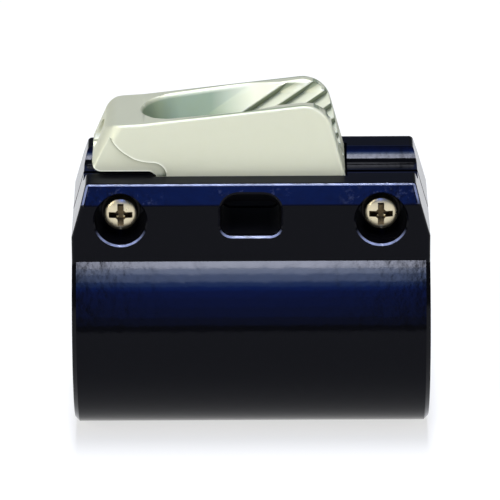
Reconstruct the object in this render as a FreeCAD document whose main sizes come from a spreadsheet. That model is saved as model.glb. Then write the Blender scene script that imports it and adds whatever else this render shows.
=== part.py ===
import FreeCAD, Part
import math
import os

import Sketcher

# Jam cleat on a tube clamp.
# The X axis is the axis of the tube, the front is -Y and +Z is up. The origin is the middle of the bore.

os.makedirs("parts", exist_ok=True)
doc = FreeCAD.newDocument("JamCleat")

# Driving dimensions in millimetres and degrees

DIMENSIONS = (
    # Clamp ring and platform
    ("tube_radius", 19.0),
    ("ring_wall", 4.25),
    ("clamp_length", 72.6),
    ("platform_rise", 9.75),
    ("platform_half_width", 12.6),
    ("jaw_half_width", 15.0),
    ("jaw_lean_drop", 3.8),
    ("jaw_draft", 3.0),
    ("end_setback", 3.0),
    ("end_slope_drop", 10.8),
    ("split_gap", 1.2),
    # Channel along the platform
    ("channel_half_width", 7.1),
    ("channel_depth", 2.6),
    ("channel_round", 3.4),
    # Screws and their seats
    ("screw_inset", 9.95),
    ("screw_drop", 7.1),
    ("screw_diameter", 4.0),
    ("screw_length", 22.0),
    ("screw_clearance", 0.2),
    ("head_diameter", 7.0),
    ("head_thickness", 2.6),
    ("head_edge", 0.6),
    ("recess_reach", 2.1),
    ("recess_width", 1.1),
    ("recess_depth", 1.5),
    ("recess_floor_share", 0.6),
    ("screw_point", 0.5),
    ("washer_diameter", 8.0),
    ("washer_thickness", 0.5),
    ("seat_offset", 8.9),
    ("counterbore_radius", 5.2),
    ("nut_flats", 7.0),
    ("nut_thickness", 3.2),
    ("nut_clearance", 0.15),
    # Rope slot through the jaws
    ("slot_width", 12.4),
    ("slot_floor_drop", 10.5),
    ("slot_roof_drop", 5.0),
    ("slot_round", 2.4),
    ("mouth_depth", 9.9),
    ("mouth_slope", 40.0),
    ("mouth_flat", 0.15),
    # Cleat outline
    ("base_length", 38.3),
    ("base_half_width", 8.6),
    ("base_depth", 3.8),
    ("base_flare", 0.9),
    ("base_side_clearance", 0.1),
    ("base_end_clearance", 0.6),
    ("foot_gap", 0.85),
    ("foot_reach", 33.4),
    ("foot_round", 1.9),
    ("foot_step", 1.2),
    ("nose_lean", 22.9),
    ("nose_height", 10.85),
    ("shoulder_reach", 28.1),
    ("shoulder_height", 9.5),
    ("nose_round", 3.4),
    ("nose_corner", 2.6),
    ("nose_corner_top", 4.2),
    ("nose_flat_end", 21.7),
    ("nose_rise", 0.4),
    ("nose_blend", 14.0),
    ("crown_height", 15.6),
    ("crown_offset", 15.0),
    ("crown_round", 5.8),
    ("recess_start", 29.2),
    ("recess_end", 17.05),
    ("recess_height", 2.95),
    ("recess_round", 9.4),
    ("recess_turn", 2.8),
    ("recess_step", 0.6),
    # Rope groove of the cleat
    ("groove_angle", 23.0),
    ("groove_start", 16.0),
    ("groove_floor_half", 1.0),
    ("groove_floor_height", 0.3),
    ("groove_floor_round", 0.9),
    ("groove_neck_height", 3.0),
    ("groove_lip", 0.65),
    ("hollow_rise", 1.5),
    ("hollow_ramp", 5.6),
    ("hollow_ledge", 1.2),
    ("hollow_depth", 1.9),
    ("eye_radius", 3.2),
    ("eye_height", 5.7),
    ("tooth_pitch", 5.1),
    ("tooth_depth", 1.3),
    ("tooth_depth_top", 0.15),
    ("tooth_full_height", 12.2),
    ("tooth_end_height", 14.6),
    ("tooth_step", 2.0),
    ("tooth_flat", 0.3),
    ("tooth_land", 0.4),
    ("tooth_rake", 32.0),
    ("tooth_level", 13.0),
    ("tooth_first", 4.9),
    ("tooth_count", 6.0),
    # Edge rounds
    ("outside_round", 0.9),
    ("end_break", 0.9),
    ("rim_break", 0.35),
    ("cleat_edge_round", 0.6),
)

sheet = doc.addObject("Spreadsheet::Sheet", "Sizes")
for row, (alias, number) in enumerate(DIMENSIONS, start=1):
    sheet.set("A%d" % row, alias)
    sheet.set("B%d" % row, str(number))
    sheet.setAlias("B%d" % row, alias)
doc.recompute()


class Size:
    """A number that also carries the expression which drives it."""

    def __init__(self, number, text=None):
        self.number = float(number)
        self.text = text or repr(float(number))

    def joined(self, other, sign, number, swapped=False):
        other = as_size(other)
        first, second = (other, self) if swapped else (self, other)
        return Size(number, "(%s %s %s)" % (first.text, sign, second.text))

    def __add__(self, other):
        return self.joined(other, "+", self.number + as_size(other).number)

    def __radd__(self, other):
        return self + other

    def __sub__(self, other):
        return self.joined(other, "-", self.number - as_size(other).number)

    def __rsub__(self, other):
        return self.joined(other, "-", as_size(other).number - self.number, swapped=True)

    def __mul__(self, other):
        return self.joined(other, "*", self.number * as_size(other).number)

    def __rmul__(self, other):
        return self * other

    def __truediv__(self, other):
        return self.joined(other, "/", self.number / as_size(other).number)

    def __neg__(self):
        return Size(-self.number, "(-1 * %s)" % self.text)


def as_size(value):
    return value if isinstance(value, Size) else Size(value)


def size(alias):
    return Size(sheet.get(alias), "Sizes." + alias)


def tangent(angle):
    return Size(math.tan(math.radians(angle.number)), "tan(%s)" % angle.text)


def bind(thing, **properties):
    for name, value in properties.items():
        thing.setExpression(name, as_size(value).text)


# Sketch and feature helpers

def new_body(label):
    body = doc.addObject("PartDesign::Body", label)
    body.Label = label
    return body


def new_sketch(body, name, role, shift=(0, 0, 0)):
    """A sketch on an origin plane of its body, moved by shift along its own x, y and normal."""
    sketch = body.newObject("Sketcher::SketchObject", name)
    plane = next(item for item in body.Origin.OriginFeatures if item.Role == role)
    sketch.AttachmentSupport = [(plane, "")]
    sketch.MapMode = "FlatFace"
    for axis, distance in zip("xyz", shift):
        sketch.setExpression(".AttachmentOffset.Base." + axis, as_size(distance).text)
    return sketch


def constrain(sketch, kind, references, value):
    index = sketch.addConstraint(Sketcher.Constraint(kind, *references, value.number))
    sketch.setExpression("Constraints[%d]" % index, value.text)


def pin(sketch, geometry, point, across, up):
    constrain(sketch, "DistanceX", (-1, 1, geometry, point), as_size(across))
    constrain(sketch, "DistanceY", (-1, 1, geometry, point), as_size(up))


def circle(sketch, across, up, radius):
    centre = FreeCAD.Vector(as_size(across).number, as_size(up).number, 0)
    index = sketch.addGeometry(Part.Circle(centre, FreeCAD.Vector(0, 0, 1), radius.number))
    pin(sketch, index, 3, across, up)
    constrain(sketch, "Radius", (index,), radius)


class Corner:
    """One corner of an outline, with its tangent points where it is rounded."""

    def __init__(self, before, here, after):
        self.across, self.up = as_size(here[0]), as_size(here[1])
        self.radius = as_size(here[2]) if len(here) > 2 else None
        self.sharp = spot(here)
        self.entry = self.exit = self.sharp
        if self.radius:
            back = (spot(before) - self.sharp).normalize()
            ahead = (spot(after) - self.sharp).normalize()
            half = back.getAngle(ahead) / 2
            reach = self.radius.number / math.tan(half)
            self.entry = self.sharp + back * reach
            self.exit = self.sharp + ahead * reach
            self.centre = self.sharp + (back + ahead).normalize() * (self.radius.number / math.sin(half))
            self.turns_left = back.cross(ahead).z < 0


def spot(corner):
    return FreeCAD.Vector(as_size(corner[0]).number, as_size(corner[1]).number, 0)


def outline(sketch, points):
    """A closed outline through points given as (across, up) or (across, up, corner radius)."""
    count = len(points)
    corners = [Corner(points[i - 1], points[i], points[(i + 1) % count]) for i in range(count)]
    lines = []
    for i, corner in enumerate(corners):
        following = corners[(i + 1) % count]
        lines.append(sketch.addGeometry(Part.LineSegment(corner.exit, following.entry)))
    for i, corner in enumerate(corners):
        line_in, line_out = lines[i - 1], lines[i]
        if corner.radius is None:
            sketch.addConstraint(Sketcher.Constraint("Coincident", line_in, 2, line_out, 1))
            pin(sketch, line_out, 1, corner.across, corner.up)
            continue
        start, end = corner.entry, corner.exit
        if not corner.turns_left:
            start, end = end, start
        ring = Part.Circle(corner.centre, FreeCAD.Vector(0, 0, 1), corner.radius.number)
        first, last = ring.parameter(start), ring.parameter(end)
        if last < first:
            last += 2 * math.pi
        arc = sketch.addGeometry(Part.ArcOfCircle(ring, first, last))
        at_entry, at_exit = (1, 2) if corner.turns_left else (2, 1)
        sketch.addConstraint(Sketcher.Constraint("Tangent", line_in, 2, arc, at_entry))
        sketch.addConstraint(Sketcher.Constraint("Tangent", arc, at_exit, line_out, 1))
        constrain(sketch, "Radius", (arc,), corner.radius)
        mark = sketch.addGeometry(Part.Point(corner.sharp), True)
        pin(sketch, mark, 1, corner.across, corner.up)
        sketch.addConstraint(Sketcher.Constraint("PointOnObject", mark, 1, line_in))
        sketch.addConstraint(Sketcher.Constraint("PointOnObject", mark, 1, line_out))


def mirrored_points(points):
    """The points and their mirror images across the up axis, in outline order."""
    return points + [(-as_size(point[0]),) + tuple(point[1:]) for point in reversed(points)]


def extrude(body, kind, sketch, length=None, side="One side", backwards=False):
    """A pad or pocket of a sketch, through everything where no length is given."""
    before = body.Shape.Volume if body.Tip else 0.0
    feature = body.newObject("PartDesign::" + kind, sketch.Name + kind)
    feature.Profile = sketch
    feature.SideType = side
    feature.Reversed = backwards
    if length is None:
        feature.Type = "ThroughAll"
    else:
        bind(feature, Length=length)
    settle(body, feature, before)
    return feature


def settle(body, feature, before):
    """Recompute and make sure that the feature changed the body."""
    doc.recompute()
    if abs(body.Shape.Volume - before) < 1e-3:
        raise RuntimeError("%s changes nothing %s" % (feature.Name, feature.State))


def revolve(body, kind, sketch, axis):
    before = body.Shape.Volume if body.Tip else 0.0
    feature = body.newObject("PartDesign::" + kind, sketch.Name + kind)
    feature.Profile = sketch
    feature.ReferenceAxis = (sketch, [axis])
    feature.Angle = 360
    settle(body, feature, before)
    return feature


def loft_cut(body, first, *others):
    before = body.Shape.Volume
    feature = body.newObject("PartDesign::SubtractiveLoft", first.Name + "Loft")
    feature.Profile = first
    feature.Sections = list(others)
    feature.Ruled = True
    settle(body, feature, before)
    return feature


def mirror(body, features, role):
    before = body.Shape.Volume
    plane = next(item for item in body.Origin.OriginFeatures if item.Role == role)
    feature = body.newObject("PartDesign::Mirrored", features[0].Name + "Mirror")
    feature.Originals = features
    feature.MirrorPlane = (plane, [""])
    body.Tip = feature
    settle(body, feature, before)
    return feature


def edge_names(shape, wanted):
    """Names of the edges for which wanted(middle, normals of the faces that meet there) is true."""
    names = []
    for number, edge in enumerate(shape.Edges, start=1):
        middle = edge.valueAt((edge.FirstParameter + edge.LastParameter) / 2)
        normals = []
        for face in shape.ancestorsOfType(edge, Part.Face):
            across, along = face.Surface.parameter(middle)
            normals.append(face.normalAt(across, along))
        if len(normals) == 2 and wanted(middle, normals):
            names.append("Edge%d" % number)
    return names


def soften(body, name, radius, wanted, kind="Fillet"):
    """Round or chamfer the edges of the body that the test wants."""
    before = body.Shape.Volume
    base = body.Tip
    feature = body.newObject("PartDesign::" + kind, name)
    feature.Base = (base, edge_names(base.Shape, wanted))
    bind(feature, **{"Radius" if kind == "Fillet" else "Size": radius})
    settle(body, feature, before)
    return feature


# Places that several pieces share

half_length = size("clamp_length") / 2
ring_radius = size("tube_radius") + size("ring_wall")
top = ring_radius + size("platform_rise")
far = size("clamp_length")
high = top + far
lean_start = top - size("jaw_lean_drop")
screw_place = half_length - size("screw_inset")
screw_height = top - size("screw_drop")
slot_roof = top - size("slot_roof_drop")
base_half = size("base_length") / 2
base_floor = top - size("base_depth")
shank_radius = size("screw_diameter") / 2
front_seat = size("seat_offset")
nut_seat = size("seat_offset") + size("nut_thickness")


# Clamp body: a split ring with a platform that two screws draw together

def build_clamp():
    body = new_body("clamp_body")
    add_ring(body)
    round_outside(body)
    cut_channel(body)
    cut_screw_seats(body)
    cut_rope_slot(body)
    break_rims(body)
    return body


def add_ring(body):
    ring = new_sketch(body, "Ring", "YZ_Plane")
    circle(ring, 0, 0, ring_radius)
    extrude(body, "Pad", ring, size("clamp_length"), "Symmetric")
    soften(body, "RingEnds", size("end_break"), lambda middle, normals: (
        abs(middle.x) > half_length.number - size("end_break").number), "Chamfer")

    platform = new_sketch(body, "Platform", "YZ_Plane")
    root = size("tube_radius") - size("ring_wall") * 2
    jaw_foot = size("jaw_half_width") + (lean_start - root) * tangent(size("jaw_draft"))
    outline(platform, mirrored_points([
        (jaw_foot, root),
        (size("jaw_half_width"), lean_start),
        (size("platform_half_width"), top),
    ]))
    extrude(body, "Pad", platform, size("clamp_length"), "Symmetric")

    bore = new_sketch(body, "Bore", "YZ_Plane")
    circle(bore, 0, 0, size("tube_radius"))
    extrude(body, "Pocket", bore, side="Symmetric")

    bend = top - size("end_slope_drop")
    reach = size("end_setback") * (high - bend) / size("end_slope_drop")
    for name, side in (("TailEnd", 1), ("NoseEnd", -1)):
        slope = new_sketch(body, name, "XZ_Plane")
        outline(slope, [
            (half_length * side, bend),
            (far * side, bend),
            (far * side, high),
            ((half_length - reach) * side, high),
        ])
        extrude(body, "Pocket", slope, side="Symmetric")


def round_outside(body):
    """One round on the long edges of the platform and on the edges of its two ends."""
    edge = size("outside_round").number
    bend = top.number - size("end_slope_drop").number
    jaw = size("jaw_half_width").number

    def wanted(middle, normals):
        if abs(middle.x) < edge:
            return middle.z > lean_start.number - edge
        upright = abs(middle.y) > jaw and all(abs(normal.z) < 0.1 for normal in normals)
        return middle.z > bend + edge / 10 or (upright and middle.z > ring_radius.number / 2)

    soften(body, "OutsideRound", size("outside_round"), wanted)


def cut_channel(body):
    """The channel along the platform, the deeper dovetail pocket for the cleat and the split below."""
    channel = new_sketch(body, "Channel", "YZ_Plane")
    outline(channel, mirrored_points([
        (size("channel_half_width"), top - size("channel_depth"), size("channel_round")),
        (size("channel_half_width"), high),
    ]))
    extrude(body, "Pocket", channel, side="Symmetric")

    pocket = new_sketch(body, "CleatPocket", "YZ_Plane")
    mouth_half = size("base_half_width") + size("base_side_clearance")
    outline(pocket, mirrored_points([
        (mouth_half + size("base_flare"), base_floor),
        (mouth_half, top),
        (mouth_half, high),
    ]))
    length = size("base_length") + 2 * size("base_end_clearance")
    extrude(body, "Pocket", pocket, length, "Symmetric")

    split = new_sketch(body, "Split", "YZ_Plane")
    outline(split, mirrored_points([(size("split_gap") / 2, 0), (size("split_gap") / 2, high)]))
    extrude(body, "Pocket", split, side="Symmetric")


def cut_screw_seats(body):
    """Counterbores on both sides, hexagon recesses behind and the clearance holes between them."""
    for name, depth, backwards in (("HeadSeats", -front_seat, True), ("NutAccess", nut_seat, False)):
        seats = new_sketch(body, name, "XZ_Plane", (0, 0, -depth))
        for side in (1, -1):
            circle(seats, screw_place * side, screw_height, size("counterbore_radius"))
        extrude(body, "Pocket", seats, backwards=backwards)

    recess = new_sketch(body, "NutRecess", "XZ_Plane", (0, 0, -nut_seat))
    for side in (1, -1):
        flats = size("nut_flats") + 2 * size("nut_clearance")
        outline(recess, hexagon(screw_place * side, screw_height, flats))
    extrude(body, "Pocket", recess, size("nut_thickness"), backwards=True)

    holes = new_sketch(body, "ScrewHoles", "XZ_Plane")
    for side in (1, -1):
        circle(holes, screw_place * side, screw_height, shank_radius + size("screw_clearance"))
    extrude(body, "Pocket", holes, side="Symmetric")


def hexagon(across, up, flats):
    """Corners of a hexagon that stands on a corner, from its width across the flats."""
    half = flats / 2
    corner = flats / math.sqrt(3)
    return [
        (across, up + corner),
        (across - half, up + corner / 2),
        (across - half, up - corner / 2),
        (across, up - corner),
        (across + half, up - corner / 2),
        (across + half, up + corner / 2),
    ]


def cut_rope_slot(body):
    """The slot right through both jaws, with a mouth that widens upwards to each side."""
    slot = new_sketch(body, "RopeSlot", "XZ_Plane")
    outline(slot, slot_points(slot_roof, size("slot_round")))
    extrude(body, "Pocket", slot, side="Symmetric")

    outside = size("jaw_half_width") + size("ring_wall")
    rise = (outside - size("mouth_depth")) * tangent(size("mouth_slope"))
    inner = new_sketch(body, "RopeMouth", "XZ_Plane", (0, 0, size("mouth_depth")))
    outline(inner, slot_points(slot_roof, size("slot_round")))
    outer = new_sketch(body, "RopeMouthOuter", "XZ_Plane", (0, 0, outside))
    mouth_round = size("slot_width") / 2 - size("mouth_flat")
    outline(outer, slot_points(slot_roof + rise, mouth_round))
    doc.recompute()
    mouth = loft_cut(body, inner, outer)
    mirror(body, [mouth], "XZ_Plane")


def slot_points(roof, upper_round):
    return mirrored_points([
        (size("slot_width") / 2, top - size("slot_floor_drop"), size("slot_round")),
        (size("slot_width") / 2, roof, upper_round),
    ])


def break_rims(body):
    """The rims of the screw seats and of the rope slot, broken by a small chamfer."""
    place, height = screw_place.number, screw_height.number
    seat = size("counterbore_radius").number
    floor, half = top.number - size("slot_floor_drop").number, size("slot_width").number / 2
    deep = nut_seat.number + 0.1

    def wanted(middle, normals):
        if abs(middle.y) < deep:
            return False
        on_seat = abs(math.hypot(abs(middle.x) - place, middle.z - height) - seat) < 0.01
        in_slot = abs(middle.x) < half + 0.01 and middle.z > floor - 0.01
        return (on_seat or in_slot) and any(abs(normal.y) > 0.4 for normal in normals)

    soften(body, "RimBreak", size("rim_break"), wanted, "Chamfer")


# Cleat: one casting with a toothed V groove, an eye at its nose and a dovetail base

groove_floor = top + size("groove_floor_height")
groove_neck = top + size("groove_neck_height")
groove_slope = tangent(size("groove_angle"))
tooth_level = top + size("tooth_level")
tooth_top = top + size("crown_height") + size("tooth_depth")
tooth_lean = Size(1) / tangent(size("tooth_rake"))
crown_rise = size("crown_height") - size("nose_height") - size("nose_rise")
crown_slope = crown_rise / (size("crown_offset") + size("nose_flat_end"))
groove_start = -size("groove_start")
ramp_end = size("tooth_first") - size("tooth_land")
ramp_start = ramp_end - size("hollow_ramp")
hollow_low = tooth_level - (ramp_start - groove_start - size("tooth_step")) / tooth_lean
hollow_flare = (size("hollow_depth") - size("hollow_ledge")) / (tooth_level - hollow_low)


def groove_half(height):
    """Half the width of the V groove at a height."""
    return size("groove_floor_half") + (height - groove_neck) * groove_slope


def hollow_half(height):
    """Half the width of the hollow at a height."""
    return groove_half(height) + size("hollow_ledge") + (height - hollow_low) * hollow_flare


def lip_level(place):
    """Height at which the lip of the groove starts, below the sloping crown."""
    crown = top + size("crown_height") - (size("crown_offset") - place) * crown_slope
    return crown - size("groove_lip")


def lip_place(place):
    """Where a slanted line that passes the tooth level at a place meets the start of the lip."""
    return (place + (lip_level(Size(0)) - tooth_level) * tooth_lean) / (Size(1) - crown_slope * tooth_lean)


def nose(height):
    """How far the leaning nose reaches at a height."""
    return -size("foot_reach") + (height - top) * tangent(size("nose_lean"))


def build_cleat():
    body = new_body("jam_cleat")
    add_cleat_block(body)
    cut_nose_corners(body)
    round_cleat(body)
    add_cleat_base(body)
    cut_side_recess(body)
    cut_groove(body)
    cut_hollow(body)
    cut_lip(body)
    cut_teeth(body)
    return body


def add_cleat_block(body):
    profile = new_sketch(body, "Profile", "XZ_Plane")
    foot = top + size("foot_gap")
    shoulder = top + size("shoulder_height")
    nose_top = top + size("nose_height")
    outline(profile, [
        (nose(foot), foot, size("foot_round")),
        (-base_half - size("foot_step"), foot, size("foot_step")),
        (-base_half, top),
        (base_half, top),
        (size("crown_offset"), top + size("crown_height"), size("crown_round")),
        (-size("nose_flat_end"), nose_top + size("nose_rise"), size("nose_blend")),
        (-size("shoulder_reach"), nose_top, size("nose_round")),
        (nose(shoulder), shoulder),
    ])
    extrude(body, "Pad", profile, size("base_half_width") * 2, "Symmetric")


def add_cleat_base(body):
    base = new_sketch(body, "Base", "YZ_Plane")
    half = size("base_half_width")
    outline(base, mirrored_points([
        (half + size("base_flare"), base_floor),
        (half, top),
    ]))
    extrude(body, "Pad", base, size("base_length"), "Symmetric")


def cut_nose_corners(body):
    """The corners of the nose, rounded more towards the top."""
    levels = (
        (top, size("nose_corner")),
        (top + size("crown_height") + size("crown_round"), size("nose_corner_top")),
    )
    sections = []
    for name, (level, radius) in zip(("Corner", "CornerTop"), levels):
        section = new_sketch(body, name, "XY_Plane", (0, 0, level))
        corner_section(section, nose(level), size("base_half_width"), radius)
        sections.append(section)
    doc.recompute()
    corner = loft_cut(body, *sections)
    mirror(body, [corner], "XZ_Plane")


def corner_section(sketch, nose_end, half, radius):
    """What lies outside the rounded corner of the nose on the front side at one level."""
    start = FreeCAD.Vector(nose_end.number, radius.number - half.number, 0)
    end = FreeCAD.Vector(nose_end.number + radius.number, -half.number, 0)
    ring = Part.Circle(FreeCAD.Vector(end.x, start.y, 0), FreeCAD.Vector(0, 0, 1), radius.number)
    arc = sketch.addGeometry(Part.ArcOfCircle(ring, math.pi, 1.5 * math.pi))
    pin(sketch, arc, 3, nose_end + radius, radius - half)
    constrain(sketch, "Radius", (arc,), radius)
    constrain(sketch, "DistanceY", (-1, 1, arc, 1), radius - half)
    constrain(sketch, "DistanceX", (-1, 1, arc, 2), nose_end + radius)
    corners = [(nose_end + radius, -far), (-far, -far), (-far, radius - half)]
    places = [end] + [spot(corner) for corner in corners] + [start]
    lines = [sketch.addGeometry(Part.LineSegment(a, b)) for a, b in zip(places, places[1:])]
    sketch.addConstraint(Sketcher.Constraint("Coincident", arc, 2, lines[0], 1))
    sketch.addConstraint(Sketcher.Constraint("Coincident", lines[-1], 2, arc, 1))
    for line, following, corner in zip(lines, lines[1:], corners):
        sketch.addConstraint(Sketcher.Constraint("Coincident", line, 2, following, 1))
        pin(sketch, following, 1, *corner)


def round_cleat(body):
    """One round along the whole upper rim, from the tail over the crown and round the nose."""
    soften(body, "CrownRound", size("cleat_edge_round"), lambda middle, normals: (
        middle.z > top.number + size("shoulder_height").number
        and any(abs(normal.y) > 0.9 for normal in normals)
        and any(abs(normal.y) < 0.1 for normal in normals)))


def cut_side_recess(body):
    """The shallow recess low on each side of the nose, bounded by a curved step."""
    recess = new_sketch(body, "SideRecess", "XZ_Plane", (0, top, size("base_half_width")))
    ledge = size("recess_height")
    outline(recess, [
        (-size("recess_start"), far),
        (-size("recess_start"), ledge, size("recess_round")),
        (-size("recess_end"), ledge, size("recess_turn")),
        (-size("recess_end"), -size("base_depth")),
        (-far, -size("base_depth")),
        (-far, far),
    ])
    cut = extrude(body, "Pocket", recess, size("recess_step"))
    mirror(body, [cut], "XZ_Plane")


def cut_groove(body):
    """The V groove, open at the tail, and the eye that leads into it through the nose."""
    groove = new_sketch(body, "Groove", "YZ_Plane", (0, 0, groove_start))
    outline(groove, mirrored_points([
        (size("groove_floor_half"), groove_floor, size("groove_floor_round")),
        (size("groove_floor_half"), groove_neck),
        (groove_half(high), high),
    ]))
    extrude(body, "Pocket", groove, backwards=True)

    eye = new_sketch(body, "Eye", "YZ_Plane", (0, 0, groove_start))
    circle(eye, 0, top + size("eye_height"), size("eye_radius"))
    extrude(body, "Pocket", eye)


def both_walls(body, name, level, points):
    """A sketch at one level, of points on the rear wall of the groove and their mirror images."""
    section = new_sketch(body, name, "XY_Plane", (0, 0, level))
    outline(section, points + [(across, -up) for across, up in reversed(points)])
    return section


def cut_hollow(body):
    """The smooth hollow behind the eye: a round end, then walls that ramp up to the first tooth."""
    round_end = new_sketch(body, "HollowEnd", "XZ_Plane", (groove_start, 0, 0))
    hollow_floor = groove_floor + size("hollow_rise")
    level = lip_level(groove_start)
    outline(round_end, [
        (0, hollow_floor),
        (groove_half(hollow_low), hollow_floor),
        (groove_half(hollow_low), hollow_low),
        (hollow_half(hollow_low), hollow_low),
        (hollow_half(level), level),
        (hollow_half(level) + high - level, high),
        (0, high),
    ])
    revolve(body, "Groove", round_end, "V_Axis")

    sections = []
    for name, level in (("Hollow", hollow_low), ("HollowTop", tooth_top)):
        shift = (level - tooth_level) * tooth_lean
        sections.append(both_walls(body, name, level, [
            (groove_start, hollow_half(level)),
            (ramp_start + shift, hollow_half(level)),
            (ramp_end + shift, groove_half(level)),
        ]))
    doc.recompute()
    loft_cut(body, *sections)


def cut_lip(body):
    """The bevelled lip along the hollow and the groove, which follows the sloping crown."""
    places = (
        ("Lip", groove_start, hollow_half),
        ("LipRamp", lip_place(ramp_start), hollow_half),
        ("LipTeeth", lip_place(ramp_end), groove_half),
        ("LipTail", half_length, groove_half),
    )
    sections = []
    for name, place, half in places:
        level = lip_level(place)
        section = new_sketch(body, name, "YZ_Plane", (0, 0, place))
        outline(section, mirrored_points([
            (half(level), level),
            (half(level) + high - level, high),
        ]))
        sections.append(section)
    doc.recompute()
    loft_cut(body, *sections)


def cut_teeth(body):
    """Slanted saw teeth in both walls, which fade out below the lip, cut by one loft and its pattern."""
    levels = (
        ("Tooth", groove_neck, size("tooth_depth")),
        ("ToothFull", top + size("tooth_full_height"), size("tooth_depth")),
        ("ToothEnd", top + size("tooth_end_height"), size("tooth_depth_top")),
    )
    sections = []
    for name, level, depth in levels:
        start = size("tooth_first") + (level - tooth_level) * tooth_lean
        crest = groove_half(level)
        share = depth / size("tooth_depth")
        sections.append(both_walls(body, name, level, [
            (start, crest),
            (start + size("tooth_step") * share, crest + depth),
            (start + (size("tooth_step") + size("tooth_flat")) * share, crest + depth),
            (start + size("tooth_pitch") - size("tooth_land"), crest),
        ]))
    doc.recompute()
    tooth = loft_cut(body, *sections)
    pattern = body.newObject("PartDesign::LinearPattern", "Teeth")
    pattern.Originals = [tooth]
    axis = next(item for item in body.Origin.OriginFeatures if item.Role == "X_Axis")
    pattern.Direction = (axis, [""])
    bind(pattern, Length=size("tooth_pitch") * (size("tooth_count") - 1), Occurrences=size("tooth_count"))
    body.Tip = pattern
    doc.recompute()


# Screws, washers and nuts

def cut_cross(body, name, head_face):
    """The cross recess, which narrows towards its floor."""
    floor_share = size("recess_floor_share")
    sections = []
    for label, depth, share in ((name, 0, Size(1)), (name + "Floor", size("recess_depth"), floor_share)):
        section = new_sketch(body, label, "XZ_Plane", (0, 0, head_face - depth))
        reach, half = size("recess_reach") * share, size("recess_width") / 2
        x, z = screw_place, screw_height
        quarter = [(half, reach), (half, half), (reach, half)]
        turned = []
        for turn in range(4):
            turned += [(x + across, z + up) for across, up in quarter[::-1]]
            quarter = [(-up, across) for across, up in quarter]
        outline(section, turned)
        sections.append(section)
    doc.recompute()
    loft_cut(body, *sections)


def build_screws():
    body = new_body("clamp_screws")
    body.AllowCompound = True
    x, z = screw_place, screw_height
    under_head = front_seat + size("washer_thickness")
    face = under_head + size("head_thickness")
    profile = new_sketch(body, "ScrewProfile", "YZ_Plane", (0, z, x))
    head = size("head_diameter") / 2
    tip = size("screw_length") - under_head
    point = size("screw_point")
    outline(profile, [
        (-face, 0),
        (-face, head - size("head_edge")),
        (-face + size("head_edge") / 2, head),
        (-under_head, head),
        (-under_head, shank_radius),
        (tip - point, shank_radius),
        (tip, shank_radius - point),
        (tip, 0),
    ])
    revolve(body, "Revolution", profile, "H_Axis")
    cut_cross(body, "CrossRecess", face)
    return twin(body)


def twin(body):
    """Repeat the finished fastener at the other screw place."""
    plane = next(item for item in body.Origin.OriginFeatures if item.Role == "YZ_Plane")
    feature = body.newObject("PartDesign::Mirrored", body.Name + "Twin")
    feature.TransformMode = "Whole shape"
    feature.MirrorPlane = (plane, [""])
    body.Tip = feature
    doc.recompute()
    return body


def build_washers():
    body = new_body("clamp_washers")
    body.AllowCompound = True
    x, z = screw_place, screw_height
    washer = new_sketch(body, "Washer", "XZ_Plane", (0, 0, front_seat))
    circle(washer, x, z, size("washer_diameter") / 2)
    circle(washer, x, z, shank_radius + size("screw_clearance") / 2)
    extrude(body, "Pad", washer, size("washer_thickness"))
    return twin(body)


def build_nuts():
    body = new_body("clamp_nuts")
    body.AllowCompound = True
    x, z = screw_place, screw_height
    nut = new_sketch(body, "Nut", "XZ_Plane", (0, 0, -front_seat))
    outline(nut, hexagon(x, z, size("nut_flats")))
    circle(nut, x, z, shank_radius + size("screw_clearance") / 2)
    extrude(body, "Pad", nut, size("nut_thickness"), backwards=True)
    return twin(body)


parts = [build_clamp(), build_cleat(), build_screws(), build_washers(), build_nuts()]
doc.recompute()

for item in doc.Objects:
    if "Invalid" in item.State or "Error" in item.State:
        raise RuntimeError(item.Name + " failed")
for part in parts:
    if part.Shape.isNull() or not part.Shape.isValid():
        raise RuntimeError(part.Label + " has no valid shape")
for part in parts:
    part.Shape.exportStep("parts/%s.step" % part.Label)
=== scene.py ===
import math

import bpy
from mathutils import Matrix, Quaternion, Vector


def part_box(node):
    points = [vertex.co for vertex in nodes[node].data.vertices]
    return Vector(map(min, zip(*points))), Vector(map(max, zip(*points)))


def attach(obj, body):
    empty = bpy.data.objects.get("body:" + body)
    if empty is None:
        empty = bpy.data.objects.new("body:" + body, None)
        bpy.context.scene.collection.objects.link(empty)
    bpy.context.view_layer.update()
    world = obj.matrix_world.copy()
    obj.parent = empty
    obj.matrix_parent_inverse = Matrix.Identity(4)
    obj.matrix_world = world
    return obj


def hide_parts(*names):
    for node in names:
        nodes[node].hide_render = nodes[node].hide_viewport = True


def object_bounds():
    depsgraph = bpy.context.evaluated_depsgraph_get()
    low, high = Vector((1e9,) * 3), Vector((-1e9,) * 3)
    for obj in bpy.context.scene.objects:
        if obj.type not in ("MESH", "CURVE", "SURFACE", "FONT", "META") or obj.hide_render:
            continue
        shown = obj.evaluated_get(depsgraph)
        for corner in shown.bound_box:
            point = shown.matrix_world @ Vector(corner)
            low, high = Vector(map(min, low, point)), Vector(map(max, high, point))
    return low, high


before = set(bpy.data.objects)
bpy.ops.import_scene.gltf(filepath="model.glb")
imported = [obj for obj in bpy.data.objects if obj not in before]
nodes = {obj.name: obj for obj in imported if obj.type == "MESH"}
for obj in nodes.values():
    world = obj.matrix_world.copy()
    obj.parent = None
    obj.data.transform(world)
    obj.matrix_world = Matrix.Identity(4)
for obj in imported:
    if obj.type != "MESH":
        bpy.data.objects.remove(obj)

cad_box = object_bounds()
bpy.ops.object.select_all(action="DESELECT")

MM = 0.001


# Colours and nodes

def linear(code):
    """A colour of the shaders from an sRGB hex code."""
    parts = [int(code[i:i + 2], 16) / 255 for i in (1, 3, 5)]
    return [p / 12.92 if p <= 0.04045 else ((p + 0.055) / 1.055) ** 2.4 for p in parts] + [1.0]


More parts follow.
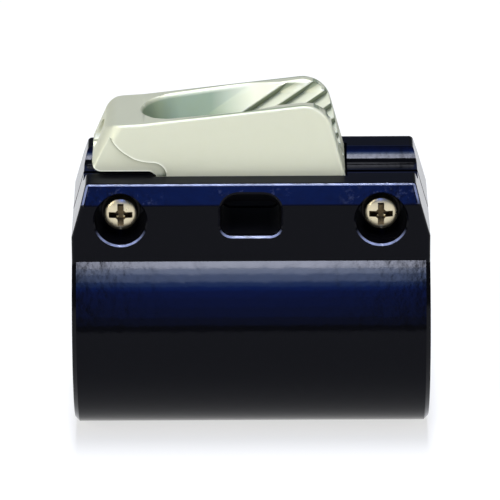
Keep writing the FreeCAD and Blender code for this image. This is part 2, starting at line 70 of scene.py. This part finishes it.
def add(tree, kind, settings=None, **links):
    """Add a node, set its properties and sockets, and link the sockets given by name."""
    node = tree.nodes.new("ShaderNode" + kind)
    for name, value in (settings or {}).items():
        if hasattr(node, name):
            setattr(node, name, value)
        else:
            node.inputs[name].default_value = value
    for name, source in links.items():
        tree.links.new(source, node.inputs[name.replace("_", " ")])
    return node


def product(tree, *factors):
    """The product of several node outputs."""
    result = factors[0]
    for factor in factors[1:]:
        both = add(tree, "Math", {"operation": "MULTIPLY"}, Value=result)
        tree.links.new(factor, both.inputs[1])
        result = both.outputs["Value"]
    return result


def ramp(tree, value, start, full):
    """A mask that grows from 0 to 1 between two values; start above full turns it round."""
    low, high = (0.0, 1.0) if start < full else (1.0, 0.0)
    return add(tree, "MapRange", {"From Min": min(start, full), "From Max": max(start, full),
                                  "To Min": low, "To Max": high}, Value=value).outputs["Result"]


def within(tree, value, start, full, size=False):
    """The same between two places in mm, or with size between two distances from the middle."""
    if size:
        value = add(tree, "Math", {"operation": "ABSOLUTE"}, Value=value).outputs["Value"]
    return ramp(tree, value, start * MM, full * MM)


def ringed(tree, x):
    """How far a point is, along X, from the nearest of the two screws and the slot, 26.35 mm apart."""
    step = add(tree, "Math", {"operation": "PINGPONG"}, Value=x)
    step.inputs[1].default_value = 13.175 * MM
    return step.outputs["Value"]


def new_material(name):
    """A material with its tree emptied but for the surface output."""
    material = bpy.data.materials.new(name)
    material.use_nodes = True
    tree = material.node_tree
    tree.nodes.clear()
    return material, tree


def finish_material(tree, shader):
    output = tree.nodes.new("ShaderNodeOutputMaterial")
    tree.links.new(shader, output.inputs["Surface"])


def dress(node, material):
    """Give a CAD node its material."""
    mesh = nodes[node].data
    if not mesh.materials:
        mesh.materials.append(material)
    for slot in range(len(mesh.materials)):
        mesh.materials[slot] = material


# Black glass-filled nylon, moulded glossy: a deep black with faint, cool reflections that waver a little

def moulded_nylon():
    material, tree = new_material("moulded_black_nylon")
    place = add(tree, "TexCoord")
    # Sink and flow marks of the moulding, 2 to 4 mm across
    flow = add(tree, "TexNoise", {"Scale": 380.0, "Detail": 2.0}, Vector=place.outputs["Object"])
    # Fine grain of the mould, really under 0.1 mm, drawn at 0.4 mm so that it shows
    grain = add(tree, "TexNoise", {"Scale": 2400.0, "Detail": 2.0}, Vector=place.outputs["Object"])
    gloss = add(tree, "MapRange", {"To Min": 0.07, "To Max": 0.14}, Value=flow.outputs["Fac"])
    # The rope rubs the walls of its slot dull
    spot = add(tree, "SeparateXYZ", Vector=place.outputs["Object"])
    x, y, z = (spot.outputs[axis] for axis in "XYZ")
    dull = product(tree, within(tree, x, 6.7, 6.3, True), within(tree, y, 14.0, 13.6, True),
                   within(tree, z, 21.4, 21.8), within(tree, z, 31.2, 30.6))
    # and the cleat's foot and the rope rub the lands on top a little
    lands = product(tree, within(tree, z, 32.85, 32.95), within(tree, y, 7.2, 7.4, True), within(tree, y, 12.6, 12.4, True))
    half = add(tree, "Math", {"operation": "MULTIPLY"}, Value=lands)
    half.inputs[1].default_value = 0.5
    rub = add(tree, "Math", {"operation": "MAXIMUM"}, Value=dull)
    tree.links.new(half.outputs["Value"], rub.inputs[1])
    rubbed = add(tree, "Math", {"operation": "MULTIPLY_ADD"}, Value=rub.outputs["Value"])
    rubbed.inputs[1].default_value = 0.5
    tree.links.new(gloss.outputs["Result"], rubbed.inputs[2])
    # Painted highlight: the narrow faces that break the front edges, those that lean up and forwards, are
    # painted paler in patches
    geometry = add(tree, "NewGeometry")
    turn = add(tree, "SeparateXYZ", Vector=geometry.outputs["Normal"])
    blotches = add(tree, "TexNoise", {"Scale": 500.0, "Detail": 3.0}, Vector=place.outputs["Object"])
    front_edge_highlight = product(tree, within(tree, y, -12.1, -12.3), within(tree, z, 20.0, 20.1),
                   ramp(tree, turn.outputs["Y"], -0.82, -0.78), ramp(tree, turn.outputs["Y"], -0.45, -0.5),
                   ramp(tree, turn.outputs["Z"], 0.3, 0.68), ramp(tree, blotches.outputs["Fac"], 0.1, 0.6))
    # and the leaning face near the screws and the slot gets pale blue patches of 1 to 3 mm: partly scuffs,
    # partly a painted mottled reflection
    scuff_and_sheen_noise = add(tree, "TexNoise", {"Scale": 420.0, "Detail": 6.0, "Roughness": 0.7},
                Vector=place.outputs["Object"])
    scuffs_and_sheen = product(tree, within(tree, y, -12.9, -13.2), within(tree, z, 29.0, 29.6),
                      ramp(tree, turn.outputs["Z"], 0.50, 0.52), ramp(tree, turn.outputs["Z"], 0.56, 0.54),
                      within(tree, ringed(tree, x), 9.0, 5.5), ramp(tree, scuff_and_sheen_noise.outputs["Fac"], 0.56, 1.6))
    paler = add(tree, "Math", {"operation": "ADD"}, Value=front_edge_highlight)
    tree.links.new(scuffs_and_sheen, paler.inputs[1])
    tone = add(tree, "Mix", {"data_type": "RGBA"})
    tone.inputs[6].default_value = linear("#050507")
    tone.inputs[7].default_value = linear("#7A82A0")
    tree.links.new(paler.outputs["Value"], tone.inputs[0])
    waves = add(tree, "Bump", {"Strength": 0.12, "Distance": 0.0002}, Height=flow.outputs["Fac"])
    bump = add(tree, "Bump", {"Strength": 0.05, "Distance": 0.00004},
               Height=grain.outputs["Fac"], Normal=waves.outputs["Normal"])
    shader = add(tree, "BsdfPrincipled", {
        "Specular IOR Level": 0.085,
        "Specular Tint": linear("#E6EAFA"),
    }, Roughness=rubbed.outputs["Value"], Normal=bump.outputs["Normal"])
    tree.links.new(tone.outputs[2], shader.inputs["Base Color"])
    finish_material(tree, shader.outputs["BSDF"])
    return material


# Die-cast aluminium, tumbled: warm pale grey with a fine grit, with a painted highlight along its proud outer
# edges.
# Painted shade makes it darker and greener in the hollow, on the teeth, along the brim and in the creases.

def cast_aluminium():
    material, tree = new_material("tumbled_cast_aluminium")
    place = add(tree, "TexCoord")
    # Grit of the tumbled skin, really 0.1 mm, drawn at 0.3 mm so that it shows
    grit = add(tree, "TexNoise", {"Scale": 3200.0, "Detail": 3.0}, Vector=place.outputs["Object"])
    # Faint clouds of the cast skin, about 3 mm across
    cloud = add(tree, "TexNoise", {"Scale": 330.0, "Detail": 4.0}, Vector=place.outputs["Object"])
    # How far a point lies below the crown, whose top rises 0.1185 mm in each mm from the nose to the tail
    spot = add(tree, "SeparateXYZ", Vector=place.outputs["Object"])
    crown = add(tree, "Math", {"operation": "MULTIPLY_ADD"}, Value=spot.outputs["X"])
    crown.inputs[1].default_value = 0.1185
    crown.inputs[2].default_value = 46.82 * MM
    below = add(tree, "Math", {"operation": "SUBTRACT"}, Value=crown.outputs["Value"])
    tree.links.new(spot.outputs["Z"], below.inputs[1])
    x, y, z = (spot.outputs[axis] for axis in "XYZ")
    # Painted shade in the hollow, darker and greener
    shaded = product(tree, within(tree, below.outputs["Value"], 0.2, 0.9), within(tree, x, -23.6, -23.2),
                     within(tree, x, 1.0, -8.0), within(tree, y, 8.5, 8.2, True), within(tree, z, 37.0, 37.6))
    # Painted shade on the teeth too: darkest on the faces that drop away from the rope, fainter up the rising
    # faces; the teeth are 5.1 mm apart and lean back 1.6 mm in each mm of height
    lean = add(tree, "Math", {"operation": "MULTIPLY_ADD"}, Value=z)
    lean.inputs[1].default_value = -1.6
    tree.links.new(x, lean.inputs[2])
    count = add(tree, "Math", {"operation": "MULTIPLY_ADD"}, Value=lean.outputs["Value"])
    count.inputs[1].default_value = 1 / (5.1 * MM)
    count.inputs[2].default_value = (46.0 * 1.6 - 4.9) / 5.1
    tooth = add(tree, "Math", {"operation": "FRACT"}, Value=count.outputs["Value"])
    inside = product(tree, ramp(tree, count.outputs["Value"], -0.01, 0.01), within(tree, y, 8.0, 7.8, True),
                     within(tree, below.outputs["Value"], 0.15, 0.7), within(tree, z, 37.0, 37.6))
    dropping = product(tree, ramp(tree, tooth.outputs["Value"], 0.0, 0.05), ramp(tree, tooth.outputs["Value"], 0.44, 0.36))
    rising = product(tree, ramp(tree, tooth.outputs["Value"], 0.36, 0.40), ramp(tree, tooth.outputs["Value"], 0.92, 0.40))
    half = add(tree, "Math", {"operation": "MULTIPLY_ADD"}, Value=rising)
    half.inputs[1].default_value = 0.4
    tree.links.new(dropping, half.inputs[2])
    faded = add(tree, "Math", {"operation": "MULTIPLY"}, Value=half.outputs["Value"])
    faded.inputs[1].default_value = 0.8
    tooth_shade = product(tree, inside, faded.outputs["Value"])
    # and painted shade along the brim of the groove, inside the rounded edge
    brim = product(tree, within(tree, y, 7.6, 7.8, True), within(tree, y, 8.45, 8.25, True), within(tree, x, -18.0, -8.0),
                   within(tree, below.outputs["Value"], 0.4, 0.1))
    brim_share = add(tree, "Math", {"operation": "MULTIPLY"}, Value=brim)
    brim_share.inputs[1].default_value = 0.7
    edge = add(tree, "Math", {"operation": "MAXIMUM"}, Value=tooth_shade)
    tree.links.new(brim_share.outputs["Value"], edge.inputs[1])
    dark = add(tree, "Math", {"operation": "MAXIMUM"}, Value=shaded)
    tree.links.new(edge.outputs["Value"], dark.inputs[1])
    tint = add(tree, "Mix", {"data_type": "RGBA"})
    tint.inputs[6].default_value = linear("#C9CAB2")
    tint.inputs[7].default_value = linear("#7E8C72")
    tree.links.new(dark.outputs["Value"], tint.inputs[0])
    # Painted shade in the creases: darker under the teeth, along the step and at the foot of the walls
    crease = add(tree, "AmbientOcclusion", {"samples": 8, "only_local": True, "Distance": 1.1 * MM})
    crease_shade = add(tree, "MapRange", {"From Min": 0.4, "From Max": 0.92}, Value=crease.outputs["AO"])
    crease_shaded = add(tree, "Mix", {"data_type": "RGBA"})
    crease_shaded.inputs[6].default_value = linear("#4C583F")
    tree.links.new(crease_shade.outputs["Result"], crease_shaded.inputs[0])
    tree.links.new(tint.outputs[2], crease_shaded.inputs[7])
    # Painted highlight: the outer edges of the sides are painted paler, where they stand proud
    rim = add(tree, "AmbientOcclusion", {"samples": 8, "inside": True, "only_local": True, "Distance": 0.6 * MM})
    proud = product(tree, ramp(tree, rim.outputs["AO"], 0.9, 0.55), within(tree, y, 7.0, 7.5, True),
                    within(tree, below.outputs["Value"], 1.0, 1.4), within(tree, z, 33.6, 34.0))
    proud_edge_highlight = add(tree, "Mix", {"data_type": "RGBA"})
    proud_edge_highlight.inputs[7].default_value = linear("#F6F7E6")
    tree.links.new(proud, proud_edge_highlight.inputs[0])
    tree.links.new(crease_shaded.outputs[2], proud_edge_highlight.inputs[6])
    gloss = add(tree, "MapRange", {"To Min": 0.46, "To Max": 0.62}, Value=cloud.outputs["Fac"])
    bump = add(tree, "Bump", {"Strength": 0.12, "Distance": 0.00004}, Height=grit.outputs["Fac"])
    shader = add(tree, "BsdfPrincipled", {
        "Metallic": 0.5,
    }, Roughness=gloss.outputs["Result"], Normal=bump.outputs["Normal"])
    tree.links.new(proud_edge_highlight.outputs[2], shader.inputs["Base Color"])
    finish_material(tree, shader.outputs["BSDF"])
    return material


# Stainless steel, cold-headed: bright with a warm reflection

def stainless_steel():
    material, tree = new_material("cold_headed_stainless")
    place = add(tree, "TexCoord")
    blotches = add(tree, "TexNoise", {"Scale": 700.0, "Detail": 4.0}, Vector=place.outputs["Object"])
    gloss = add(tree, "MapRange", {"To Min": 0.22, "To Max": 0.38}, Value=blotches.outputs["Fac"])
    shader = add(tree, "BsdfPrincipled", {
        "Base Color": linear("#D8CDAE"),
        "Metallic": 1.0,
    }, Roughness=gloss.outputs["Result"])
    finish_material(tree, shader.outputs["BSDF"])
    return material


# The punched recess of a screw: the same steel, dulled, with painted shade: dark brown and mottled

def punched_recess():
    material, tree = new_material("shaded_recess_steel")
    place = add(tree, "TexCoord")
    mottle = add(tree, "TexNoise", {"Scale": 1800.0, "Detail": 3.0}, Vector=place.outputs["Object"])
    tone = add(tree, "Mix", {"data_type": "RGBA"})
    tone.inputs[6].default_value = linear("#1E160C")
    tone.inputs[7].default_value = linear("#6E6048")
    tree.links.new(mottle.outputs["Fac"], tone.inputs[0])
    shader = add(tree, "BsdfPrincipled", {"Metallic": 1.0, "Roughness": 0.38})
    tree.links.new(tone.outputs[2], shader.inputs["Base Color"])
    finish_material(tree, shader.outputs["BSDF"])
    return material


# Washers: steel painted dull and nearly black, a painted shade for the counterbores round the heads

def shade_dark_steel():
    material, tree = new_material("washer_steel_painted_shade")
    place = add(tree, "TexCoord")
    mottle = add(tree, "TexNoise", {"Scale": 900.0, "Detail": 3.0}, Vector=place.outputs["Object"])
    gloss = add(tree, "MapRange", {"To Min": 0.35, "To Max": 0.5}, Value=mottle.outputs["Fac"])
    shader = add(tree, "BsdfPrincipled", {"Base Color": linear("#2C2A28"), "Metallic": 1.0},
                 Roughness=gloss.outputs["Result"])
    finish_material(tree, shader.outputs["BSDF"])
    return material


nylon = moulded_nylon()
washer_shade_steel = shade_dark_steel()
aluminium = cast_aluminium()
stainless = stainless_steel()
recess_painted_shade = punched_recess()
for name, material in (("clamp_body", nylon), ("jam_cleat", aluminium), ("clamp_screws", stainless),
                       ("clamp_washers", washer_shade_steel), ("clamp_nuts", stainless)):
    dress(name, material)


# Modelling

def use(piece):
    """Make a piece the only one selected, and the active one."""
    bpy.ops.object.select_all(action="DESELECT")
    piece.select_set(True)
    bpy.context.view_layer.objects.active = piece


def apply_modifier(piece, kind, **settings):
    modifier = piece.modifiers.new(kind.lower(), kind)
    for name, value in settings.items():
        setattr(modifier, name, value)
    use(piece)
    bpy.ops.object.modifier_apply(modifier=modifier.name)


def cut(piece, cutter, operation="DIFFERENCE"):
    """Cut a piece with another one, whose faces keep its material, and clear that away."""
    apply_modifier(piece, "BOOLEAN", object=cutter, operation=operation, material_mode="TRANSFER")
    bpy.data.objects.remove(cutter)


def turned(name, across, up, profile, material, sides=48):
    """A turned piece on an axis along Y, from the radius and the place along Y of each of its rings, in mm."""
    radius, along = profile[0]
    bpy.ops.object.select_all(action="DESELECT")
    bpy.ops.mesh.primitive_circle_add(vertices=sides, radius=radius * MM, fill_type="NGON",
                                      location=(across, along * MM, up), rotation=(math.pi / 2, 0, 0))
    piece = bpy.context.object
    piece.name = name
    bpy.ops.object.transform_apply(location=True, rotation=True, scale=True)
    bpy.ops.object.mode_set(mode="EDIT")
    bpy.ops.mesh.select_all(action="SELECT")
    for next_radius, next_along in profile[1:]:
        bpy.ops.mesh.extrude_region_move(
            TRANSFORM_OT_translate={"value": (0, (next_along - along) * MM, 0)})
        share = next_radius / radius
        bpy.ops.transform.resize(value=(share, 1, share), center_override=(across, next_along * MM, up))
        radius, along = next_radius, next_along
    bpy.ops.mesh.select_all(action="SELECT")
    bpy.ops.mesh.normals_make_consistent(inside=False)
    bpy.ops.object.mode_set(mode="OBJECT")
    piece.data.materials.append(material)
    return piece


def finish(piece, node, angle=30.0):
    """Smooth a fastener, copy it to the other screw place and let both stand for their CAD node."""
    use(piece)
    bpy.ops.object.shade_smooth_by_angle(angle=math.radians(angle))
    twin = piece.copy()
    twin.data = piece.data.copy()
    twin.name = piece.name.replace("right", "left")
    bpy.context.scene.collection.objects.link(twin)
    use(twin)
    twin.location.x = -2 * screw_across
    bpy.ops.object.transform_apply(location=True, rotation=True, scale=True)
    for one in (piece, twin):
        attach(one, "root")
        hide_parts(node)


# Screws: M4, pan head with a cross recess

HEAD_RADIUS = 3.5
screws_low, screws_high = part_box("clamp_screws")
screw_across = screws_high[0] - HEAD_RADIUS * MM
screw_up = (screws_low[2] + screws_high[2]) / 2
face = screws_low[1] / MM
tip = screws_high[1] / MM
under_head = face + 2.6


def recess_cutter():
    """A cross of two tapered wings, narrower at the bottom, round a pointed middle."""
    wings = []
    for reach, width in ((2.85, 0.68), (0.68, 2.85)):
        bpy.ops.object.select_all(action="DESELECT")
        bpy.ops.mesh.primitive_cube_add(size=2.0, location=(screw_across, (face + 0.7) * MM, screw_up),
                                        scale=(reach * MM, 1.1 * MM, width * MM))
        wing = bpy.context.object
        bpy.ops.object.transform_apply(location=True, rotation=True, scale=True)
        bpy.ops.object.mode_set(mode="EDIT")
        bpy.ops.mesh.select_all(action="DESELECT")
        bpy.ops.object.mode_set(mode="OBJECT")
        for vertex in wing.data.vertices:
            vertex.select = vertex.co.y > face * MM
        for edge in wing.data.edges:
            edge.select = all(wing.data.vertices[v].select for v in edge.vertices)
        for side in wing.data.polygons:
            side.select = all(wing.data.vertices[v].select for v in side.vertices)
        bpy.ops.object.mode_set(mode="EDIT")
        bpy.ops.transform.resize(value=(0.45 if reach > width else 0.7, 1, 0.7 if reach > width else 0.45),
                                 center_override=(screw_across, face * MM, screw_up))
        bpy.ops.object.mode_set(mode="OBJECT")
        # The faces of the recess take the steel with painted shade
        wing.data.materials.append(recess_painted_shade)
        wings.append(wing)
    cross = wings[0]
    cut(cross, wings[1], "UNION")
    middle = turned("recess_middle", screw_across, screw_up,
                    [(1.3, face - 0.4), (1.2, face), (1.0, face + 1.1), (0.2, face + 1.75)], stainless, 24)
    cut(cross, middle, "UNION")
    return cross


screw = turned("screw_right", screw_across, screw_up, [
    (1.5, tip), (2.0, tip - 0.5), (2.0, under_head), (HEAD_RADIUS - 0.15, under_head),
    (HEAD_RADIUS, under_head - 0.15), (HEAD_RADIUS, face + 0.95), (3.46, face + 0.72), (3.36, face + 0.54),
    (3.2, face + 0.42), (2.7, face + 0.28), (2.1, face + 0.165), (1.4, face + 0.075), (0.7, face + 0.02),
], stainless, 64)
cut(screw, recess_cutter())
finish(screw, "clamp_screws")


# Washers: stamped, with edges rounded by the tumbling

washer_low, washer_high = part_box("clamp_washers")
front, back = washer_low[1] / MM, washer_high[1] / MM
washer = turned("washer_right", screw_across, screw_up,
                [(3.88, front), (4.0, front + 0.12), (4.0, back - 0.05), (3.95, back)], washer_shade_steel, 64)
cut(washer, turned("washer_bore", screw_across, screw_up,
                   [(2.2, front - 0.1), (2.1, front + 0.08), (2.1, back + 0.1)], washer_shade_steel, 48))
finish(washer, "clamp_washers")


# Nuts: hexagons of 7 mm across the flats, chamfered on both faces, with a countersunk thread

nut_low, nut_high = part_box("clamp_nuts")
front, back = nut_low[1] / MM, nut_high[1] / MM
corner = 3.5 / math.cos(math.pi / 6)
nut = turned("nut_right", screw_across, screw_up,
             [(3.45, front), (corner + 0.02, front + 0.34), (corner + 0.02, back - 0.34), (3.45, back)],
             stainless, 72)
hexagon = turned("nut_hexagon", screw_across, screw_up, [(corner, front - 1), (corner, back + 1)], stainless, 6)
cut(nut, hexagon, "INTERSECT")
cut(nut, turned("nut_bore", screw_across, screw_up,
                [(2.5, front - 0.1), (2.1, front + 0.3), (2.1, back - 0.3), (2.5, back + 0.1)], stainless, 48))
finish(nut, "clamp_nuts", 25.0)


# The cleat: a copy of the CAD node, whose sharp upper edges are rounded by the tumbling

def copy_of(node, name):
    """A copy of a CAD node that stands for it, with its loose triangles joined."""
    source = nodes[node]
    piece = source.copy()
    piece.data = source.data.copy()
    piece.name = name
    bpy.context.scene.collection.objects.link(piece)
    use(piece)
    bpy.ops.object.mode_set(mode="EDIT")
    bpy.ops.mesh.select_all(action="SELECT")
    bpy.ops.mesh.remove_doubles(threshold=0.002 * MM)
    bpy.ops.object.mode_set(mode="OBJECT")
    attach(piece, "root")
    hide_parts(node)
    return piece


cleat = copy_of("jam_cleat", "tumbled_cleat")
bpy.ops.object.mode_set(mode="EDIT")
bpy.ops.mesh.dissolve_limited(angle_limit=math.radians(0.3))
bpy.ops.mesh.select_all(action="DESELECT")
bpy.ops.mesh.select_mode(type="EDGE")
bpy.ops.mesh.edges_select_sharp(sharpness=math.radians(38))
bpy.ops.object.mode_set(mode="OBJECT")
weights = cleat.data.attributes.new("bevel_weight_edge", "FLOAT", "EDGE")
# Where the lip of the groove starts, turns and runs out it is too narrow for the bevel: x, y either way, reach
lip_corners = ((-21.35, 3.4, 0.8), (-18.1, 6.25, 0.4), (12.5, 6.0, 0.7))
for edge in cleat.data.edges:
    ends = [cleat.data.vertices[v].co for v in edge.vertices]
    at_crown = all(46.82 * MM + 0.1185 * end.x - end.z < 0.35 * MM for end in ends)
    outside = all(abs(end.y) > 8.3 * MM and end.z > 37.0 * MM for end in ends)
    narrow = any(abs(end.x / MM - x) < reach and abs(abs(end.y / MM) - y) < reach
                 for end in ends for x, y, reach in lip_corners)
    weights.data[edge.index].value = 1.0 if edge.select and (at_crown or outside) and not narrow else 0.0
apply_modifier(cleat, "BEVEL", width=0.14 * MM, segments=2, limit_method="WEIGHT", use_clamp_overlap=False)
bpy.ops.object.shade_smooth_by_angle(angle=math.radians(28))
apply_modifier(cleat, "WEIGHTED_NORMAL", keep_sharp=True)

# Floor: white, and no darker where the lamps fall off, but it keeps the shadow of the object

def pale_floor():
    bpy.ops.mesh.primitive_plane_add(size=12.0, location=(0, 0, cad_box[0][2]))
    floor = bpy.context.object
    floor.name = "floor"
    material, tree = new_material("matt_white_floor")
    matt = add(tree, "BsdfDiffuse", {"Color": linear("#F4F4F2")})
    glow = add(tree, "Emission", {"Color": linear("#FFFFFF"), "Strength": 1.0})
    ray = add(tree, "LightPath")
    seen = add(tree, "Math", {"operation": "MAXIMUM"})
    tree.links.new(ray.outputs["Is Camera Ray"], seen.inputs[0])
    tree.links.new(ray.outputs["Is Glossy Ray"], seen.inputs[1])
    seen_too = add(tree, "Math", {"operation": "MAXIMUM"})
    tree.links.new(seen.outputs["Value"], seen_too.inputs[0])
    tree.links.new(ray.outputs["Is Transmission Ray"], seen_too.inputs[1])
    share = add(tree, "Math", {"operation": "MULTIPLY"})
    tree.links.new(seen_too.outputs["Value"], share.inputs[0])
    share.inputs[1].default_value = 0.65
    both = add(tree, "MixShader")
    tree.links.new(share.outputs["Value"], both.inputs[0])
    tree.links.new(matt.outputs["BSDF"], both.inputs[1])
    tree.links.new(glow.outputs["Emission"], both.inputs[2])
    finish_material(tree, both.outputs["Shader"])
    floor.data.materials.append(material)
    bpy.ops.object.select_all(action="DESELECT")


def bearing(azimuth, elevation):
    """The direction from the object at an azimuth from the front, to the right, and an elevation."""
    across, up = math.radians(azimuth), math.radians(elevation)
    return Vector((math.sin(across) * math.cos(up), -math.cos(across) * math.cos(up), math.sin(up)))


def softbox(name, azimuth, elevation, distance, width, height, level, colour):
    """A soft rectangular lamp that faces the object; its level is its brightness, white being 1."""
    lamp = bpy.data.lights.new(name, "AREA")
    lamp.shape = "RECTANGLE"
    lamp.size = width
    lamp.size_y = height
    lamp.energy = level * math.pi * width * height
    lamp.color = linear(colour)[:3]
    holder = bpy.data.objects.new(name, lamp)
    bpy.context.scene.collection.objects.link(holder)
    direction = bearing(azimuth, elevation)
    holder.location = direction * distance
    holder.rotation_euler = direction.to_track_quat("Z", "Y").to_euler()


pale_floor()
# An overhead strip, then cards below it that fade and turn blue towards the horizon
softbox("overhead_strip", 0, 80, 2.4, 0.22, 1.35, 64, "#F4F6FF")
for low, high, level, colour in ((58, 64, 36, "#D4E2FF"), (50, 58, 22, "#B4CCFF"), (45, 50, 13, "#6A9AFF"),
                                 (41, 45, 10, "#2C6CFF"), (34, 41, 6.0, "#3C6CFF"), (24, 34, 4.6, "#4470FF"),
                                 (14, 24, 3.4, "#5078FF"), (6, 14, 1.6, "#6C8CFF")):
    softbox("card_%d" % low, 0, (low + high) / 2, 2.4, 0.24, math.radians(high - low) * 2.4, level, colour)
softbox("blue_backdrop", 180, 24, 2.4, 0.26, 0.5, 0.4, "#5A7CFF")
softbox("left_softbox", -44, 20, 1.3, 0.8, 0.8, 5.2, "#FFFBEC")
softbox("right_softbox", 54, 18, 1.3, 0.7, 0.7, 3.0, "#FFFBEC")

world = bpy.data.worlds.new("studio")
bpy.context.scene.world = world
world.use_nodes = True
background = world.node_tree.nodes["Background"]
background.inputs["Color"].default_value = linear("#D8E4F2")
background.inputs["Strength"].default_value = 0.15


# Camera at the photograph's viewing angle: a long lens, a little above the object

def add_camera(azimuth, elevation, distance, target, roll):
    camera = bpy.data.cameras.new("camera")
    camera.sensor_width = 36.0
    camera.lens = 0.35064 * distance / MM
    camera.clip_end = 20.0
    holder = bpy.data.objects.new("camera", camera)
    bpy.context.scene.collection.objects.link(holder)
    direction = bearing(azimuth, elevation)
    holder.location = Vector(target) + direction * distance
    turned = direction.to_track_quat("Z", "Y") @ Quaternion((0, 0, 1), math.radians(-roll))
    holder.rotation_euler = turned.to_euler()
    bpy.context.scene.camera = holder


add_camera(0.0, 23.5, 1.1, (-0.2 * MM, 0, 12.89 * MM), 0.28)

scene = bpy.context.scene
scene.view_settings.view_transform = "Standard"
